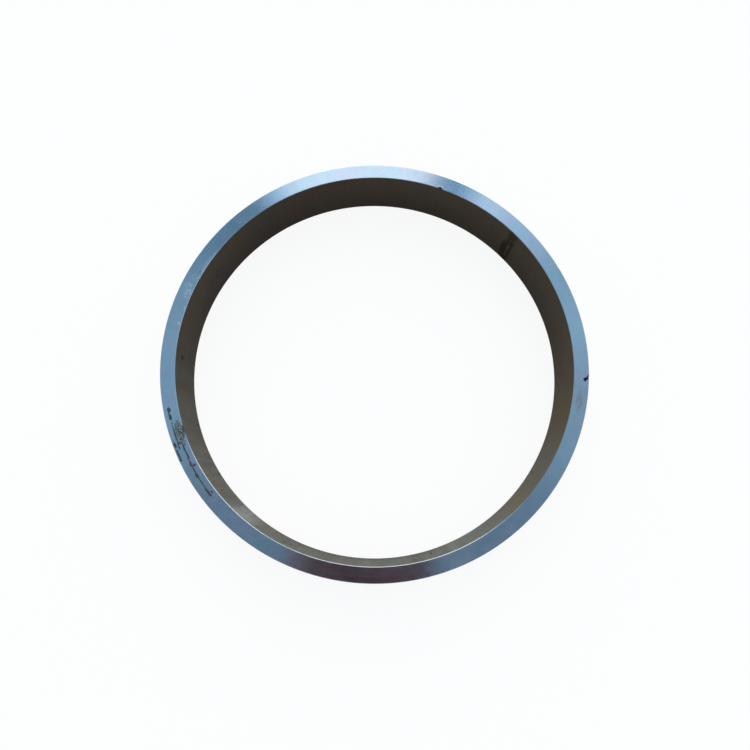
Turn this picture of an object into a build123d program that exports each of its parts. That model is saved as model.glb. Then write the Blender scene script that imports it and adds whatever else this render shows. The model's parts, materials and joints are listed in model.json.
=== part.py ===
"""Undrilled weld neck flange: one forged steel ring, turned all over.

The thick end is the rim, which carries the flat mating face.  Behind the rim a shoulder steps in to
the hub, and the hub tapers down to the neck, the thin end that is bevelled for butt welding to a
pipe.  The bore is straight and runs right through.

The ring lies on its weld end.  +Z runs along the bore, from the weld end up to the mating face, and
the origin is the centre of the weld end.  Sizes are in millimetres and angles in degrees.
"""

from math import radians, tan
import os

from build123d import *

# Bore
BORE_DIAMETER = 850.0
BORE_CHAMFER = 1.0

# Neck and its weld end
NECK_WALL = 7.0
NECK_LENGTH = 35.0
BEVEL_ANGLE = 37.5
ROOT_FACE = 1.6

# Hub
HUB_TAPER = 12.0
HUB_LENGTH = 45.0
HUB_FOOT_FILLET = 20.0

# Shoulder and rim
SHOULDER_WIDTH = 13.0
SHOULDER_FILLET = 6.0
RIM_THICKNESS = 45.0
RIM_FACE_CHAMFER = 1.0
RIM_BACK_CHAMFER = 1.5

# Radii, from the bore outwards
bore_radius = BORE_DIAMETER / 2
root_radius = bore_radius + ROOT_FACE
neck_radius = bore_radius + NECK_WALL
hub_radius = neck_radius + HUB_TAPER
rim_radius = hub_radius + SHOULDER_WIDTH

# Heights, from the weld end up
bevel_height = (NECK_WALL - ROOT_FACE) * tan(radians(BEVEL_ANGLE))
shoulder_height = NECK_LENGTH + HUB_LENGTH
face_height = shoulder_height + RIM_THICKNESS

hub_foot = (neck_radius, NECK_LENGTH)
shoulder_corner = (hub_radius, shoulder_height)

# The ring is its section, turned about the bore's axis.
with BuildPart() as flange:
    with BuildSketch(Plane.XZ) as section:
        with BuildLine():
            Polyline(
                (bore_radius, 0),
                (root_radius, 0),
                (neck_radius, bevel_height),
                hub_foot,
                shoulder_corner,
                (rim_radius, shoulder_height),
                (rim_radius, face_height),
                (bore_radius, face_height),
                close=True,
            )
        make_face()
        fillet(section.vertices().sort_by_distance(hub_foot)[0], HUB_FOOT_FILLET)
        fillet(section.vertices().sort_by_distance(shoulder_corner)[0], SHOULDER_FILLET)
    revolve(axis=Axis.Z)

    face_edges = flange.faces().sort_by(Axis.Z)[-1].edges().sort_by(SortBy.RADIUS)
    chamfer(face_edges[0], BORE_CHAMFER)
    chamfer(face_edges[-1], RIM_FACE_CHAMFER)

    shoulder_edges = flange.edges().filter_by_position(Axis.Z, shoulder_height, shoulder_height)
    chamfer(shoulder_edges.sort_by(SortBy.RADIUS)[-1], RIM_BACK_CHAMFER)

os.makedirs("parts", exist_ok=True)
flange.part.label = "weld_neck_flange"
export_step(flange.part, "parts/weld_neck_flange.step")
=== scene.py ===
import json
from math import ceil, cos, degrees, pi, radians, sin, tan

import bmesh
import bpy
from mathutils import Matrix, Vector, noise


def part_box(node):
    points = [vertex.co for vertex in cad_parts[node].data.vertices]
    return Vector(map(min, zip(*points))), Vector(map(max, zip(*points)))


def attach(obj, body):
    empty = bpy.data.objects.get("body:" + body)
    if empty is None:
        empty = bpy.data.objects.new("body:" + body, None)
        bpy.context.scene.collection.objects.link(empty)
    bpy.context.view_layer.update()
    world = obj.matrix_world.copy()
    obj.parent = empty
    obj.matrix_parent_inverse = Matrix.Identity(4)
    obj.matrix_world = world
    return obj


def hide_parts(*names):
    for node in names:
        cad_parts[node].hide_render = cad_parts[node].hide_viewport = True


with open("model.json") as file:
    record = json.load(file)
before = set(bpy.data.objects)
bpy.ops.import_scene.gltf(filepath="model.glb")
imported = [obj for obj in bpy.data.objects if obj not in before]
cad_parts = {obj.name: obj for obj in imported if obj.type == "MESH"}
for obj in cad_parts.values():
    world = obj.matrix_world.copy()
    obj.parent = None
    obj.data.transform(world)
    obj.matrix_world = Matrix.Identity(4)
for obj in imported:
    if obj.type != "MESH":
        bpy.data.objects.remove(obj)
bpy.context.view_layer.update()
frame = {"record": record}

# ----------------------------------------------------------------------------------------------
# The forging.  One ring of carbon steel, rolled from a pierced billet and then turned all over,
# so every surface is swept round the bore's axis.  Handling and marking out have left a chip in
# the bore's edge, a chisel mark at the rim and a few small dings.
# ----------------------------------------------------------------------------------------------

mounts = {mount["name"]: mount for mount in frame["record"]["mounts"]}
ring_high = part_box("weld_neck_flange")[1]

bore_radius = mounts["bore"]["dims"]["r_mm"] / 1000
neck_radius = mounts["neck"]["dims"]["r_mm"] / 1000
rim_radius = min(ring_high.x, ring_high.y)
face_height = ring_high.z
shoulder_height = mounts["shoulder"]["pos_m"][2]

bore_chamfer = face_height - mounts["bore"]["dims"]["length_mm"] / 1000
rim_half_length = mounts["rim"]["dims"]["length_mm"] / 2000
rim_face_chamfer = face_height - mounts["rim"]["pos_m"][2] - rim_half_length
rim_back_chamfer = mounts["rim"]["pos_m"][2] - rim_half_length - shoulder_height

shoulder_width = 0.013
shoulder_fillet = 0.006
hub_radius = rim_radius - shoulder_width
hub_foot_height = 0.035
hub_foot_fillet = 0.020
root_face = 0.0016
bevel_angle = radians(37.5)
bevel_height = (neck_radius - bore_radius - root_face) * tan(bevel_angle)
broken_edge = 0.0003

# The half section, corner by corner: radius, height, fillet, and the finish of the stretch that
# runs on to the next corner.
TURNED_FACE, BORE, OUTSIDE, WELD_END = range(4)
section_corners = (
    (bore_radius, 0, broken_edge, WELD_END),
    (bore_radius + root_face, 0, broken_edge, WELD_END),
    (neck_radius, bevel_height, broken_edge, OUTSIDE),
    (neck_radius, hub_foot_height, hub_foot_fillet, OUTSIDE),
    (hub_radius, shoulder_height, shoulder_fillet, OUTSIDE),
    (rim_radius - rim_back_chamfer, shoulder_height, broken_edge, OUTSIDE),
    (rim_radius, shoulder_height + rim_back_chamfer, broken_edge, OUTSIDE),
    (rim_radius, face_height - rim_face_chamfer, broken_edge, TURNED_FACE),
    (rim_radius - rim_face_chamfer, face_height, broken_edge, TURNED_FACE),
    (bore_radius + bore_chamfer, face_height, broken_edge, TURNED_FACE),
    (bore_radius, face_height - bore_chamfer, broken_edge, BORE),
)

# How finely the section is divided: metres along each finish, and degrees round a fillet.
longest_step = {TURNED_FACE: 0.0013, BORE: 0.006, OUTSIDE: 0.004, WELD_END: 0.002}
arc_step = 20


def rounded_corner(before, corner, after, fillet):
    """The points of one corner's arc, worked out from the two sides that it is tangent to."""
    back, ahead = (before - corner).normalized(), (after - corner).normalized()
    half_angle = back.angle(ahead) / 2
    reach = fillet / tan(half_angle)
    centre = corner + (back + ahead).normalized() * (fillet / sin(half_angle))
    start = (corner + back * reach - centre).normalized()
    end = (corner + ahead * reach - centre).normalized()
    steps = max(3, ceil(degrees(pi - 2 * half_angle) / arc_step))
    return [centre + start.slerp(end, i / steps) * fillet for i in range(steps + 1)]


def half_section():
    """The closed half section as (radius, height) points, each with the finish that follows it."""
    corners = [Vector((radius, height)) for radius, height, _, _ in section_corners]
    count = len(corners)
    arcs = [
        rounded_corner(corners[i - 1], corners[i], corners[(i + 1) % count], section_corners[i][2])
        for i in range(count)
    ]
    points = []
    for i, arc in enumerate(arcs):
        finish = section_corners[i][3]
        next_start = arcs[(i + 1) % count][0]
        run = next_start - arc[-1]
        steps = max(1, ceil(run.length / longest_step[finish]))
        points += [(point, finish) for point in arc[:-1]]
        points += [(arc[-1] + run * (step / steps), finish) for step in range(steps)]
    return points


# The chip, the chisel mark and the dings: degrees round the ring, radius and height of the middle,
# half length round the ring, half width across the section, and depth.
chip_angle = 69.4
dings = (
    (chip_angle, bore_radius + 0.0005, face_height - 0.0010, 0.0050, 0.0040, 0.0032),
    (353.85, rim_radius - 0.0072, face_height, 0.0026, 0.0052, 0.0030),
    (354.4, rim_radius - 0.0015, face_height - 0.0005, 0.0024, 0.0040, 0.0014),
    (27.0, rim_radius - 0.0004, face_height - 0.0004, 0.0034, 0.0020, 0.0007),
    (148.0, rim_radius - 0.0004, face_height - 0.0004, 0.0026, 0.0018, 0.0006),
    (231.0, rim_radius - 0.0005, shoulder_height + 0.0006, 0.0050, 0.0030, 0.0010),
    (302.0, rim_radius - 0.0005, shoulder_height + 0.0006, 0.0034, 0.0024, 0.0009),
    (335.0, neck_radius, bevel_height, 0.0040, 0.0022, 0.0009),
    (118.0, neck_radius, bevel_height, 0.0030, 0.0022, 0.0007),
)
section_middle = Vector(((bore_radius + rim_radius) / 2, face_height * 0.6))
ding_raggedness = 0.35
ding_bowl = 0.8

# Degrees from one cross section to the next, and how many more stand on each side of a ding.
plain_step = 0.8
steps_beside_ding = 14
margin_round_ding = 1.3


def stations():
    """The angles of the cross sections: evenly spaced, and closer together at each ding."""
    angles = {round(i * plain_step, 3) for i in range(round(360 / plain_step))}
    for middle, radius, _, half_length, _, _ in dings:
        spread = degrees(half_length / radius) * margin_round_ding
        for i in range(-steps_beside_ding, steps_beside_ding + 1):
            angles.add(round((middle + spread * i / steps_beside_ding) % 360, 3))
    return sorted(angles)


def dinged(angle, point):
    """A point of the section, pushed into the metal where a ding lies."""
    moved = point.copy()
    for middle, radius, height, half_length, half_width, depth in dings:
        away = (angle - middle + 180) % 360 - 180
        along = radians(away) * radius / half_length
        across = (point - Vector((radius, height))).length / half_width
        grit = Vector((angle * 9, point.x * 900, point.y * 900))
        ragged = 1 + ding_raggedness * noise.noise(grit)
        far = (along * along + across * across) * ragged
        if far < 1:
            inward = section_middle - Vector((radius, height))
            moved += inward.normalized() * depth * (1 - far) ** ding_bowl
    return moved


# The skin, one cross section after another.  Its flat map has three strips, one for each third of
# the ring, with a margin round each.
ring_mesh = bmesh.new()
flat_map = ring_mesh.loops.layers.uv.new("OFBake")
strips = 3
strip_length = 360 / strips
end_margin, side_margin = 0.01, 0.02
angles = stations()
points = half_section()
distances = [0.0]
for (here, _), (after, _) in zip(points, points[1:] + points[:1]):
    distances.append(distances[-1] + (after - here).length)

rings = []
for angle in angles:
    turn = radians(angle)
    rings.append([])
    for point, _ in points:
        radius, height = dinged(angle, point)
        rings[-1].append(ring_mesh.verts.new((radius * cos(turn), radius * sin(turn), height)))

for i, angle in enumerate(angles):
    next_ring = rings[(i + 1) % len(rings)]
    next_angle = angles[i + 1] if i + 1 < len(angles) else 360
    for j, (_, finish) in enumerate(points):
        k = (j + 1) % len(points)
        side = ring_mesh.faces.new((rings[i][j], next_ring[j], next_ring[k], rings[i][k]))
        side.material_index = finish
        side.smooth = True
        ends = ((angle, j), (next_angle, j), (next_angle, j + 1), (angle, j + 1))
        strip = int(angle // strip_length)
        for loop, (place, step) in zip(side.loops, ends):
            along = place / strip_length - strip
            across = distances[step] / distances[-1]
            u = along * (1 - 2 * end_margin) + end_margin
            v = (strip + across * (1 - 2 * side_margin) + side_margin) / strips
            loop[flat_map].uv = (u, v)

bmesh.ops.recalc_face_normals(ring_mesh, faces=ring_mesh.faces)
ring = bpy.data.objects.new("turned_ring", bpy.data.meshes.new("turned_ring"))
ring_mesh.to_mesh(ring.data)
ring_mesh.free()
bpy.context.scene.collection.objects.link(ring)


class Wire:
    """One socket of a finish.  Sums, products, remainders and powers of wires add Math nodes."""

    def __init__(self, finish, socket):
        self.finish = finish
        self.socket = socket

    def out(self, name):
        """Another output of the same node."""
        return Wire(self.finish, self.socket.node.outputs[name])

    def __add__(self, other):
        return self.finish.maths("ADD", self, other)

    def __radd__(self, other):
        return self.finish.maths("ADD", other, self)

    def __sub__(self, other):
        return self.finish.maths("SUBTRACT", self, other)

    def __rsub__(self, other):
        return self.finish.maths("SUBTRACT", other, self)

    def __mul__(self, other):
        return self.finish.maths("MULTIPLY", self, other)

    def __rmul__(self, other):
        return self.finish.maths("MULTIPLY", other, self)

    def __truediv__(self, other):
        return self.finish.maths("DIVIDE", self, other)

    def __rtruediv__(self, other):
        return self.finish.maths("DIVIDE", other, self)

    def __mod__(self, other):
        return self.finish.maths("FLOORED_MODULO", self, other)

    def __pow__(self, other):
        return self.finish.maths("POWER", self, other)

    def __abs__(self):
        return self.finish.maths("ABSOLUTE", self)

    def or_else(self, other):
        """The stronger of two masks."""
        return self.finish.maths("MAXIMUM", self, other)


class Finish:
    """The node tree of a material or of the sky, made one node at a time."""

    def __init__(self, block):
        self.block = block
        self.block.use_nodes = True
        self.tree = self.block.node_tree
        self.tree.nodes.clear()

    def node(self, kind, settings=None, inputs=None, output=0):
        """Adds a node: its settings first, then the value or the wire of each socket."""
        made = self.tree.nodes.new(kind)
        for name, value in (settings or {}).items():
            if name == "stops":
                ramp = made.color_ramp
                for position, _ in value[2:]:
                    ramp.elements.new(position)
                for stop, (position, colour) in zip(ramp.elements, value):
                    stop.position = position
                    stop.color = (*colour, 1)
            else:
                setattr(made, name, value)
        for name, value in (inputs or {}).items():
            if isinstance(value, Wire):
                self.tree.links.new(value.socket, made.inputs[name])
            else:
                made.inputs[name].default_value = value
        return Wire(self, made.outputs[output] if made.outputs else None)

    def maths(self, operation, *values):
        """A Math node."""
        return self.node("ShaderNodeMath", {"operation": operation}, dict(enumerate(values)))

    def mixed(self, amount, ground, top, blend="MIX"):
        """One colour over another by a mask.  The Mix node's colours are its sockets 6, 7 and 2."""
        settings = {"data_type": "RGBA", "blend_type": blend}
        under, over = [c if isinstance(c, Wire) else (*c, 1) for c in (ground, top)]
        return self.node("ShaderNodeMix", settings, {0: amount, 6: under, 7: over}, 2)

    def cloud(self, where, scale, detail=3.0, roughness=0.55):
        """Soft random variation, from 0 to 1."""
        inputs = {"Vector": where, "Scale": scale, "Detail": detail, "Roughness": roughness}
        return self.node("ShaderNodeTexNoise", None, inputs)

    def ease(self, value, start, end, low=0.0, high=1.0):
        """A value's soft rise from low at start to high at end."""
        inputs = {
            "Value": value,
            "From Min": start,
            "From Max": end,
            "To Min": low,
            "To Max": high,
        }
        return self.node("ShaderNodeMapRange", {"interpolation_type": "SMOOTHSTEP"}, inputs)

    def surface(self, shader):
        """Joins a shader to the output."""
        kind = "World" if isinstance(self.block, bpy.types.World) else "Material"
        self.node("ShaderNodeOutput" + kind, None, {"Surface": shader})


def round_the_ring(finish):
    """Where a point lies: degrees round the ring, radius, height, and its place as a vector."""
    place = finish.node("ShaderNodeTexCoord").out("Object")
    x = finish.node("ShaderNodeSeparateXYZ", None, {0: place})
    y, height = x.out("Y"), x.out("Z")
    angle = finish.maths("ARCTAN2", y, x) * degrees(1) % 360
    radius = (x * x + y * y) ** 0.5
    return angle, radius, height, place


def swept(finish, place, across, along):
    """Coordinates that draw a texture out along the tool's path round the ring."""
    way = finish.node("ShaderNodeVectorMath", {"operation": "NORMALIZE"}, {0: place})
    x = finish.node("ShaderNodeSeparateXYZ", None, {0: way})
    inputs = {0: x * along, 1: x.out("Y") * along, 2: across}
    return finish.node("ShaderNodeCombineXYZ", None, inputs)


def touch(where, middle_angle, middle, half_angle, half_width):
    """A worn mark's mask: 1 in its middle, ragged and soft at its edge.

    Angles are in degrees round the ring.  The middle and the half width lie across the surface,
    and are a radius on the face and a depth below the face in the bore.
    """
    angle, across, ragged = where
    along = abs(angle - middle_angle) / half_angle
    across = abs(across - middle) / half_width
    far = (along * along + across * across) ** 0.5 + ragged
    return far.finish.ease(far, 1.4, 0.7)


def touches(where, *marks):
    """One mask of several marks."""
    mask = touch(where, *marks[0])
    for mark in marks[1:]:
        mask = mask.or_else(touch(where, *mark))
    return mask


def stretch_of(angle, middle, half, soft):
    """The part of the ring within half of the middle, in degrees."""
    half_turn = 180
    away = abs((angle + (3 * half_turn - middle)) % (2 * half_turn) - half_turn)
    return angle.finish.ease(away, half + soft, half - soft)


# The mating face: finish-turned and bright, with a blue cast that is a painted reflection of a blue
# sky.  Stamped and inked marks have worn to smudges, the near side of the bore's chamfer and the
# metal beside the chip carry painted highlights, the chip is painted near-black as painted shade,
# and the chisel mark has begun to rust.
faced = Finish(bpy.data.materials.new("faced_steel"))
angle, radius, _, place = round_the_ring(faced)
grain = faced.cloud(swept(faced, place, radius * 900, 5), 1, 4, 0.7)
spokes = faced.cloud(swept(faced, place, radius * 25, 22), 1, 4, 0.65)
smears = faced.cloud(place, 9, 4, 0.6)
haze = faced.cloud(place, 45, 3, 0.6)
ragged = (faced.cloud(place, 420, 3, 0.7) - 0.5) * 1.5
ragged = ragged + (faced.cloud(place, 190, 2, 0.5) - 0.5) * 1.3
where = (angle, radius, ragged)

ink = touches(
    where,
    (194.8, 0.4450, 0.85, 0.0030),
    (196.0, 0.4462, 1.10, 0.0014),
    (197.0, 0.4450, 0.85, 0.0028),
    (201.4, 0.4448, 3.40, 0.0012),
    (202.4, 0.4450, 2.00, 0.0018),
    (205.1, 0.4458, 1.10, 0.0014),
    (204.4, 0.4520, 0.95, 0.0026),
    (207.2, 0.4525, 1.70, 0.0020),
    (208.7, 0.4530, 0.40, 0.0024),
    (206.0, 0.4373, 1.30, 0.0019),
    (208.2, 0.4366, 1.20, 0.0016),
    (215.2, 0.4386, 6.40, 0.0013),
    (211.0, 0.4386, 1.30, 0.0023),
    (214.4, 0.4393, 0.80, 0.0026),
    (219.6, 0.4395, 1.80, 0.0026),
    (211.6, 0.4336, 0.35, 0.0036),
    (220.3, 0.4330, 0.30, 0.0018),
    (201.4, 0.4262, 1.25, 0.0021),
    (204.4, 0.4420, 0.40, 0.0012),
    (153.3, 0.4312, 0.20, 0.0012),
)
pricks = faced.ease(faced.cloud(place, 310, 2, 0.7), 0.46, 0.53)
pricked = touch(where, 201.8, 0.4348, 3.5, 0.0070)
ink = ink.or_else(pricked * pricks * 0.9)
scuffs = touches(
    where,
    (150.5, 0.4275, 4.5, 0.0032),
    (155.3, 0.4365, 0.8, 0.0055),
    (158.4, 0.4400, 0.9, 0.0070),
    (160.2, 0.4345, 1.8, 0.0070),
    (165.0, 0.4270, 0.6, 0.0026),
    (169.9, 0.4300, 0.5, 0.0035),
)
scuffs = scuffs * faced.ease(faced.cloud(place, 150, 3, 0.7), 0.38, 0.58)
thumbed = touch(where, 347.5, 0.4400, 2.8, 0.0060)
thumbed = thumbed * faced.ease(faced.cloud(place, 260, 3, 0.6), 0.3, 0.6)

chip = touch(where, chip_angle, bore_radius + 0.0009, 0.72, 0.0034)
# A painted highlight on the face beside the chip.
chip_glint = touch(where, chip_angle, bore_radius + 0.0045, 0.8, 0.0022)
chisel = touch(where, 353.75, rim_radius - 0.0078, 0.42, 0.0042)
chisel = chisel.or_else(touch(where, 354.2, rim_radius - 0.0040, 0.38, 0.0036))
chisel_tail = touch(where, 354.7, rim_radius - 0.0018, 0.4, 0.0028)
rust = touch(where, 355.4, rim_radius - 0.0002, 0.35, 0.0014)

chamfer_radius = bore_radius + bore_chamfer
# A painted highlight along the bore's chamfer, strongest on the near side of the ring.
highlight_stretches = stretch_of(angle, 225, 16.5, 5).or_else(stretch_of(angle, 264, 37, 5) * 0.8)
highlight_stretches = highlight_stretches.or_else(stretch_of(angle, 158, 15, 8) * 0.5)
chamfer_highlight = faced.ease(radius, chamfer_radius + 0.0004, chamfer_radius) * highlight_stretches
rubbed = faced.ease(radius, rim_radius - rim_face_chamfer, rim_radius) * haze
# The blue of these steel stops is a painted reflection of a blue sky.
steel = faced.node(
    "ShaderNodeValToRGB",
    {"stops": ((0.38, (0.262, 0.392, 0.508)), (0.62, (0.330, 0.446, 0.578)))},
    {0: smears * 0.35 + haze * 0.25 + grain * 0.15 + spokes * 0.25},
)
cast = faced.ease(faced.cloud(place, 22, 3, 0.6), 0.38, 0.62)
cast = faced.mixed(cast, (0.955, 1.02, 0.998), (1.035, 0.985, 1.01))
steel = faced.mixed(1.0, steel, cast, "MULTIPLY")
colour = faced.mixed(rubbed * 0.5, steel, (0.56, 0.62, 0.68))
# The chamfer's painted highlight.
colour = faced.mixed(chamfer_highlight * 0.9, colour, (0.72, 0.80, 0.88))
colour = faced.mixed(scuffs * 0.75, colour, (0.50, 0.66, 0.80))
colour = faced.mixed(thumbed * 0.5, colour, (0.16, 0.23, 0.26))
colour = faced.mixed(pricked * 0.7, colour, (0.245, 0.262, 0.245))
colour = faced.mixed(chip_glint * 0.6, colour, (0.80, 0.90, 0.98))
colour = faced.mixed(ink * 0.9, colour, (0.038, 0.041, 0.041))
# The chip and the chisel mark are painted near-black; in the chip this is painted shade in its
# hollow.
colour = faced.mixed(chip.or_else(chisel) * 0.95, colour, (0.006, 0.008, 0.009))
colour = faced.mixed(chisel_tail * 0.7, colour, (0.030, 0.045, 0.038))
colour = faced.mixed(rust, colour, (0.42, 0.12, 0.03))
dull = ink.or_else(chip).or_else(chisel).or_else(rust)
turned = faced.node("ShaderNodeBump", None, {"Strength": 0.1, "Distance": 0.0004, "Height": grain})
faced_steel = {
    "Base Color": colour,
    "Metallic": 1 - dull * 0.8 - chamfer_highlight * 0.35,
    "Roughness": smears * 0.06 + haze * 0.05 + grain * 0.05 + dull * 0.4 + scuffs * 0.1 + 0.13,
    "Anisotropic": 1.0,
    "Anisotropic Rotation": 0.25,
    "Normal": turned,
}
faced.surface(faced.node("ShaderNodeBsdfPrincipled", None, faced_steel))

# The bore: turned, then left to dull under a brown-grey film.  Its colour round the ring is partly
# the film's own and partly painted light, lighter on the near side and darker on the far side, and
# it is painted darker towards the bottom as painted shade.  Oil has run down it in one place, and
# hands have wiped it in others.
bored = Finish(bpy.data.materials.new("dulled_bore"))
angle, _, height, place = round_the_ring(bored)
depth = face_height - height
stretch = {0: place, 1: (1, 1, 0.06)}
upright = bored.node("ShaderNodeVectorMath", {"operation": "MULTIPLY"}, stretch)
streaks = bored.cloud(upright, 150, 4, 0.65)
bands = bored.cloud(upright, 28, 3, 0.6)
film = bored.cloud(place, 16, 4, 0.6)
mottle = bored.cloud(place, 70, 4, 0.65)
feed = bored.cloud(swept(bored, place, height * 260, 7), 1, 3, 0.65)
ragged = (bored.cloud(upright, 260, 3, 0.7) - 0.5) * 1.2
where = (angle, depth, ragged)

# The film's colour by how far round the ring it lies, from 0 to 1: partly the film's own hue and
# partly painted light, lighter on the near side and darker on the far side.
film_and_light_by_turn = (
    (0.000, (0.108, 0.078, 0.048)),
    (0.060, (0.097, 0.074, 0.050)),
    (0.250, (0.103, 0.076, 0.055)),
    (0.340, (0.078, 0.062, 0.045)),
    (0.430, (0.088, 0.068, 0.050)),
    (0.500, (0.082, 0.063, 0.043)),
    (0.560, (0.128, 0.118, 0.098)),
    (0.620, (0.182, 0.176, 0.154)),
    (0.700, (0.168, 0.176, 0.150)),
    (0.780, (0.172, 0.178, 0.154)),
    (0.815, (0.214, 0.225, 0.194)),
    (0.840, (0.200, 0.204, 0.178)),
    (0.868, (0.184, 0.162, 0.110)),
    (0.920, (0.147, 0.139, 0.109)),
    (0.947, (0.138, 0.098, 0.058)),
    (0.972, (0.124, 0.096, 0.054)),
    (1.000, (0.108, 0.078, 0.048)),
)
wandering = (angle + (bands - 0.5) * 16) % 360 / 360
colour = bored.node("ShaderNodeValToRGB", {"stops": film_and_light_by_turn}, {0: wandering})
# Painted shade: the bore is painted darker towards the bottom, most on the far side and less on the
# near side.
painted_shade_low = bored.ease(depth, 0, 0.125, 0, 0.67) * stretch_of(angle, 85, 85, 20)
painted_shade_low = painted_shade_low.or_else(bored.ease(depth, 0.06, 0.125, 0, 0.35) * stretch_of(angle, 266, 26, 8))
colour = bored.mixed(painted_shade_low, colour, (0.026, 0.019, 0.014))
# A pale band at about 230 degrees: a painted reflection of a glare.
painted_glare_band = stretch_of(angle, 230.6, 3.4, 2.2) * bored.ease(film, 0.3, 0.6, 0.6, 1)
colour = bored.mixed(painted_glare_band, colour, (0.335, 0.362, 0.348))
wiped = (bored.cloud(upright, 62, 4, 0.7) - 0.5) * stretch_of(angle, 250, 54, 14)
uneven = bored.node(
    "ShaderNodeValToRGB",
    {"stops": ((0.36, (0.672, 0.659, 0.647)), (0.66, (1.139, 1.143, 1.147)))},
    {0: streaks * 0.3 + film * 0.15 + mottle * 0.2 + bands * 0.15 + feed * 0.2 + wiped * 0.55},
)
colour = bored.mixed(1.0, colour, uneven, "MULTIPLY")
cast = bored.ease(bored.cloud(place, 24, 3, 0.6), 0.4, 0.6)
cast = bored.mixed(cast, (1.05, 0.97, 0.92), (0.96, 1.03, 1.03))
colour = bored.mixed(1.0, colour, cast, "MULTIPLY")

oil = touches(
    where,
    (42.2, 0.0140, 1.5, 0.0200),
    (41.5, 0.0420, 0.8, 0.0140),
    (42.9, 0.0450, 0.5, 0.0300),
    (43.9, 0.0760, 0.7, 0.0260),
    (43.1, 0.0950, 0.8, 0.0300),
    (42.3, 0.1180, 1.8, 0.0140),
)
oil = oil.or_else(touch(where, 41.2, 0.0900, 0.6, 0.0400) * 0.8)
spots = touches(
    where,
    (178.7, 0.0400, 0.66, 0.0082),
    (179.5, 0.0370, 0.60, 0.0030),
    (149.1, 0.0550, 0.28, 0.0060),
    (150.0, 0.0665, 0.26, 0.0060),
    (286.2, 0.0680, 0.20, 0.0120),
)
faint_spots = touches(
    where,
    (198.1, 0.1080, 0.35, 0.0080),
    (214.8, 0.1110, 0.45, 0.0100),
    (220.6, 0.0450, 0.25, 0.0070),
    (226.6, 0.0970, 0.22, 0.0080),
    (230.1, 0.0600, 0.30, 0.0070),
)
smudges = touches(
    where,
    (235.6, 0.0280, 0.45, 0.0140),
    (243.9, 0.0280, 0.35, 0.0130),
    (245.0, 0.0480, 1.70, 0.0200),
    (281.2, 0.0340, 0.35, 0.0220),
    (289.2, 0.0360, 0.25, 0.0200),
)
oil = oil * bored.ease(depth, 0.01, 0.07, 0.52, 1)
colour = bored.mixed(oil * 0.9, colour, (0.028, 0.017, 0.006))
colour = bored.mixed(smudges * 0.3, colour, (0.040, 0.030, 0.024))
spots = spots.or_else(faint_spots * 0.6)
colour = bored.mixed(spots * 0.88, colour, (0.012, 0.010, 0.009))
rough = {"Strength": 0.25, "Distance": 0.0006, "Height": streaks + mottle * 0.5}
dulled_steel = {
    "Base Color": colour,
    "Metallic": 0.12 - oil * 0.12,
    "Roughness": streaks * 0.15 + mottle * 0.12 + oil * 0.15 + 0.45,
    "Specular IOR Level": 0.05,
    "Normal": bored.node("ShaderNodeBump", None, rough),
}
bored.surface(bored.node("ShaderNodeBsdfPrincipled", None, dulled_steel))

# The outside: rim, shoulder, hub and neck, turned at a coarser feed.  Its two fillets are painted
# dark, a painted shade with some dirt, its edges are rubbed bright, and it is scratched, dripped on
# and freckled with rust.
outer = Finish(bpy.data.materials.new("turned_outside"))
_, radius, height, place = round_the_ring(outer)
feed = outer.cloud(swept(outer, place, (radius + height) * 700, 4), 1, 4, 0.7)
passes = outer.cloud(swept(outer, place, (radius + height) * 170, 3), 1, 3, 0.6)
smears = outer.cloud(place, 12, 4, 0.6)
handled = outer.cloud(place, 80, 5, 0.7)
downward = {0: place, 1: (1, 1, 0.12)}
downward = outer.node("ShaderNodeVectorMath", {"operation": "MULTIPLY"}, downward)
drips = outer.ease(outer.cloud(downward, 42, 4, 0.65), 0.54, 0.74)
slant = {0: place, "Rotation": (0.35, 0.3, 0.3), "Scale": (0.5, 0.5, 16)}
slanted = outer.node("ShaderNodeMapping", None, slant)
scratches = outer.ease(abs(outer.cloud(slanted, 16, 0, 0.5) - 0.5), 0.008, 0.002)
scratches = scratches * outer.ease(outer.cloud(place, 34, 2, 0.5), 0.52, 0.62)
freckles = outer.ease(outer.cloud(place, 330, 2, 0.6), 0.62, 0.70)
freckles = freckles * outer.ease(outer.cloud(place, 14, 3, 0.6), 0.48, 0.62)

steel = outer.node(
    "ShaderNodeValToRGB",
    {"stops": ((0.32, (0.205, 0.255, 0.300)), (0.68, (0.400, 0.462, 0.515)))},
    {0: passes * 0.35 + smears * 0.25 + handled * 0.2 + feed * 0.2},
)
hub_side = outer.ease(radius, rim_radius - 0.004, rim_radius - 0.009)
steel = outer.mixed(hub_side, steel, (0.80, 0.82, 0.85), "MULTIPLY")
# Painted shade in the fillet under the rim and the fillet at the foot, with some dirt.
painted_shade_under_rim = outer.ease(height, shoulder_height - 0.016, shoulder_height - 0.003)
painted_shade_under_rim = painted_shade_under_rim * outer.ease(radius, rim_radius - 0.001, rim_radius - 0.008)
painted_shade_at_foot = outer.ease(abs(height - hub_foot_height - 0.003), 0.012, 0.001)
painted_shade_at_foot = painted_shade_at_foot * outer.ease(smears, 0.35, 0.65, 0.15, 0.6)
dirt_and_painted_shade = painted_shade_under_rim.or_else(painted_shade_at_foot) * (handled * 0.6 + 0.5)
worn = outer.ease(abs(height - shoulder_height - rim_back_chamfer / 2), 0.0016, 0.0006)
worn = worn * outer.ease(radius, rim_radius - 0.004, rim_radius - 0.002)
worn = worn.or_else(outer.ease(height, bevel_height + 0.002, bevel_height))
worn = worn * outer.ease(handled, 0.3, 0.6, 0.4, 1)
colour = outer.mixed(drips * 0.35, steel, (0.150, 0.165, 0.170))
colour = outer.mixed(dirt_and_painted_shade * 0.75, colour, (0.050, 0.048, 0.045))
colour = outer.mixed(scratches * 0.7, colour, (0.620, 0.690, 0.740))
colour = outer.mixed(worn * 0.8, colour, (0.600, 0.665, 0.715))
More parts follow.
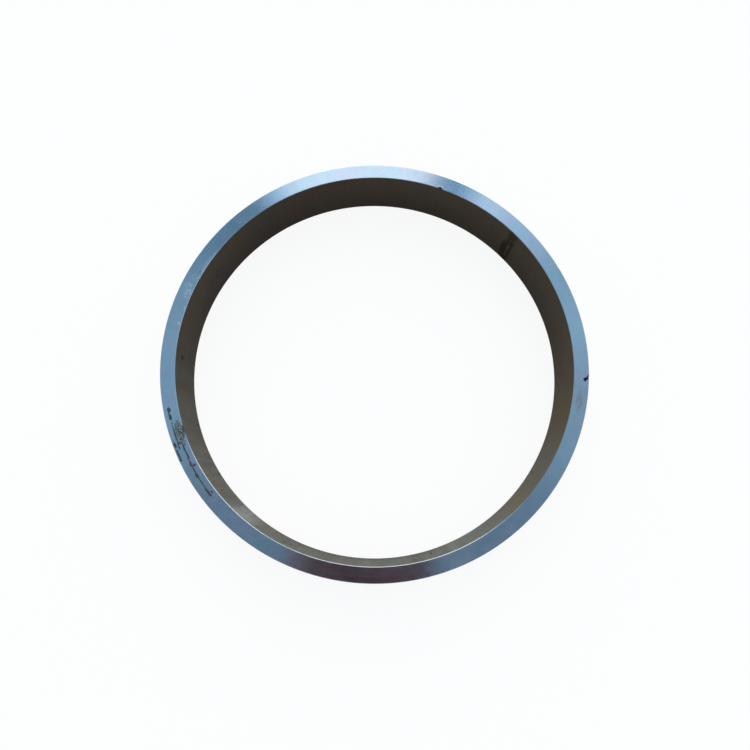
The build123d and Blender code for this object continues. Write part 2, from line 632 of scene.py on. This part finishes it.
colour = outer.mixed(freckles * 0.7, colour, (0.230, 0.105, 0.045))
turned = {"Strength": 0.35, "Distance": 0.0006, "Height": feed + passes * 0.6 - scratches * 0.4}
outside_steel = {
    "Base Color": colour,
    "Metallic": 1 - freckles * 0.8 - dirt_and_painted_shade * 0.3,
    "Roughness": smears * 0.1 + handled * 0.12 + drips * 0.1 + dirt_and_painted_shade * 0.2 + freckles * 0.3 + 0.22,
    "Anisotropic": 0.7,
    "Anisotropic Rotation": 0.25,
    "Normal": outer.node("ShaderNodeBump", None, turned),
}
outer.surface(outer.node("ShaderNodeBsdfPrincipled", None, outside_steel))

# The weld end: the bevel and the land beside it, cut last and still bright.
bevelled = Finish(bpy.data.materials.new("bevelled_end"))
_, radius, height, place = round_the_ring(bevelled)
feed = bevelled.cloud(swept(bevelled, place, (radius + height) * 1500, 4), 1, 3, 0.7)
steel = bevelled.node(
    "ShaderNodeValToRGB",
    {"stops": ((0.3, (0.42, 0.47, 0.51)), (0.7, (0.56, 0.61, 0.65)))},
    {0: feed},
)
bright_steel = {
    "Base Color": steel,
    "Metallic": 1,
    "Roughness": feed * 0.12 + 0.22,
    "Anisotropic": 0.7,
    "Anisotropic Rotation": 0.25,
}
bevelled.surface(bevelled.node("ShaderNodeBsdfPrincipled", None, bright_steel))

# The four finishes, in the order in which the half section numbers them.
for finish in (faced, bored, outer, bevelled):
    ring.data.materials.append(finish.block)

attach(ring, "root")
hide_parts("weld_neck_flange")

# ----------------------------------------------------------------------------------------------
# The studio: a plain white floor, and a soft sky that is bright beyond the ring and dim on the
# near side.  Long soft lamps hang in it, because a turned face draws each one out into a sector.
# ----------------------------------------------------------------------------------------------

floor_gap = 0.0005
floor_half_width = 12
floor_mesh = bmesh.new()
bmesh.ops.create_grid(floor_mesh, x_segments=1, y_segments=1, size=floor_half_width)
floor = bpy.data.objects.new("studio_floor", bpy.data.meshes.new("studio_floor"))
floor_mesh.to_mesh(floor.data)
floor_mesh.free()
floor.location.z = -floor_gap
bpy.context.scene.collection.objects.link(floor)
paper = Finish(bpy.data.materials.new("white_paper"))
seen = paper.node("ShaderNodeLightPath")
glow = seen.out("Is Camera Ray").or_else(seen.out("Is Glossy Ray"))
glow = glow.or_else(seen.out("Is Transmission Ray")) * 0.8
matt = paper.node("ShaderNodeBsdfDiffuse", None, {"Color": (0.62, 0.62, 0.62, 1)})
bright = paper.node("ShaderNodeEmission", None, {"Strength": 1.13})
paper.surface(paper.node("ShaderNodeMixShader", None, {0: glow, 1: matt, 2: bright}))
floor.data.materials.append(paper.block)

# The eye, from the middle of the face, and how far its mirrored line of sight leans for each metre
# that it rises.  The long edges of the lamps and cards all run to that line.
eye = Vector((-0.0073, -0.271, 1.0928))
mirrored_x, mirrored_y = -eye.x / eye.z, -eye.y / eye.z

sky = Finish(bpy.data.worlds.new("studio_sky"))
bpy.context.scene.world = sky.block
x = sky.node("ShaderNodeSeparateXYZ", None, {0: sky.node("ShaderNodeTexCoord").out("Generated")})
y, rise = x.out("Y"), x.out("Z")
compass = sky.maths("ARCTAN2", y - rise * mirrored_y, x - rise * mirrored_x) * degrees(1) % 360

# The lamps, each over the ones before it: the bearings where it starts, is full, begins to fade and
# ends, and its colour.
lamps = (
    (99, 139, 140, 180, (0.26, 0.42, 0.52)),
    (138, 164, 192, 224, (0.54, 0.69, 0.78)),
    (27, 44, 59, 65, (1.10, 1.22, 1.32)),
    (46, 54, 56, 63, (1.62, 1.58, 1.66)),
    (61, 64.5, 68, 72, (0.08, 0.47, 0.66)),
    (100, 108, 120, 125, (1.18, 1.45, 1.64)),
    (70.5, 76, 110, 120, (2.58, 2.30, 2.17)),
    (82, 92, 110, 118, (2.44, 2.20, 2.09)),
    (284, 287, 293, 301, (0.23, 0.26, 0.32)),
    (329, 344, 352, 359, (0.61, 0.67, 0.72)),
    (1, 8, 13, 20, (0.72, 0.90, 0.96)),
)
right = sky.ease(sky.maths("COSINE", (compass - 25) * radians(1)), 0.15, 0.95)
overhead = sky.mixed(right, (0.28, 0.33, 0.39), (0.66, 0.80, 0.90))
for start, full, fading, end, colour in lamps:
    lit = sky.ease(compass, start, full) * sky.ease(compass, end, fading)
    overhead = sky.mixed(lit, overhead, colour)

beyond = sky.ease(y + x * 0.3, 0.59, 0.69)
horizon = sky.mixed(beyond, (0.46, 0.41, 0.35), (1.45, 1.40, 1.34))
shade = sky.mixed(sky.ease(rise, 0.15, 0.5), horizon, overhead)
seen = sky.node("ShaderNodeLightPath")
mirrored = seen.out("Is Glossy Ray").or_else(seen.out("Is Transmission Ray"))
wall = seen.out("Is Camera Ray").or_else(mirrored * sky.ease(rise, 0.26, 0.14) * (1 - beyond))
shade = sky.mixed(wall, shade, (0.98, 0.98, 0.98))
sky.surface(sky.node("ShaderNodeBackground", None, {"Color": shade}))


def hung_card(name, height, start, end, far, colour):
    """A flat card above the face, between two bearings and out to the distance given as far."""
    middle = Vector((mirrored_x * height, mirrored_y * height, face_height + height))
    near = 0.02
    sheet = bmesh.new()
    corners = []
    for reach, turn in ((near, start), (near, end), (far, end), (far, start)):
        way = Vector((cos(radians(turn)), sin(radians(turn)), 0))
        corners.append(sheet.verts.new(middle + way * reach))
    sheet.faces.new(corners)
    card = bpy.data.objects.new(name, bpy.data.meshes.new(name))
    sheet.to_mesh(card.data)
    sheet.free()
    card.visible_camera = False
    card.visible_shadow = False
    card.visible_diffuse = False
    bpy.context.scene.collection.objects.link(card)
    felt = Finish(bpy.data.materials.new(name))
    felt.surface(felt.node("ShaderNodeEmission", None, {"Color": (*colour, 1)}))
    card.data.materials.append(felt.block)


# Cards that only reflections see.  They make the dark brown sector on the near side of the face.
brown = (0.09, 0.006, 0.004)
hung_card("brown_card", 1.15, 250, 285, 1.9, brown)
hung_card("brown_edge", 1.14, 247, 252, 1.9, (0.24, 0.13, 0.13))
hung_card("brown_fade", 1.145, 250, 261, 1.9, (0.13, 0.022, 0.022))
hung_card("brown_tab", 1.15, 68, 108, 0.48, brown)

# The camera, held over the near side of the ring and tipped a little towards the far side.
lens = bpy.data.cameras.new("camera")
lens.sensor_width = 36
lens.lens = 25.29
camera = bpy.data.objects.new("camera", lens)
camera.location = eye + Vector((0, 0, face_height))
tip, lean = radians(11.985), radians(-0.37)
camera.rotation_mode = "YXZ"
camera.rotation_euler = (tip, lean, 0)
bpy.context.scene.collection.objects.link(camera)
bpy.context.scene.camera = camera
bpy.context.scene.view_settings.view_transform = "Standard"
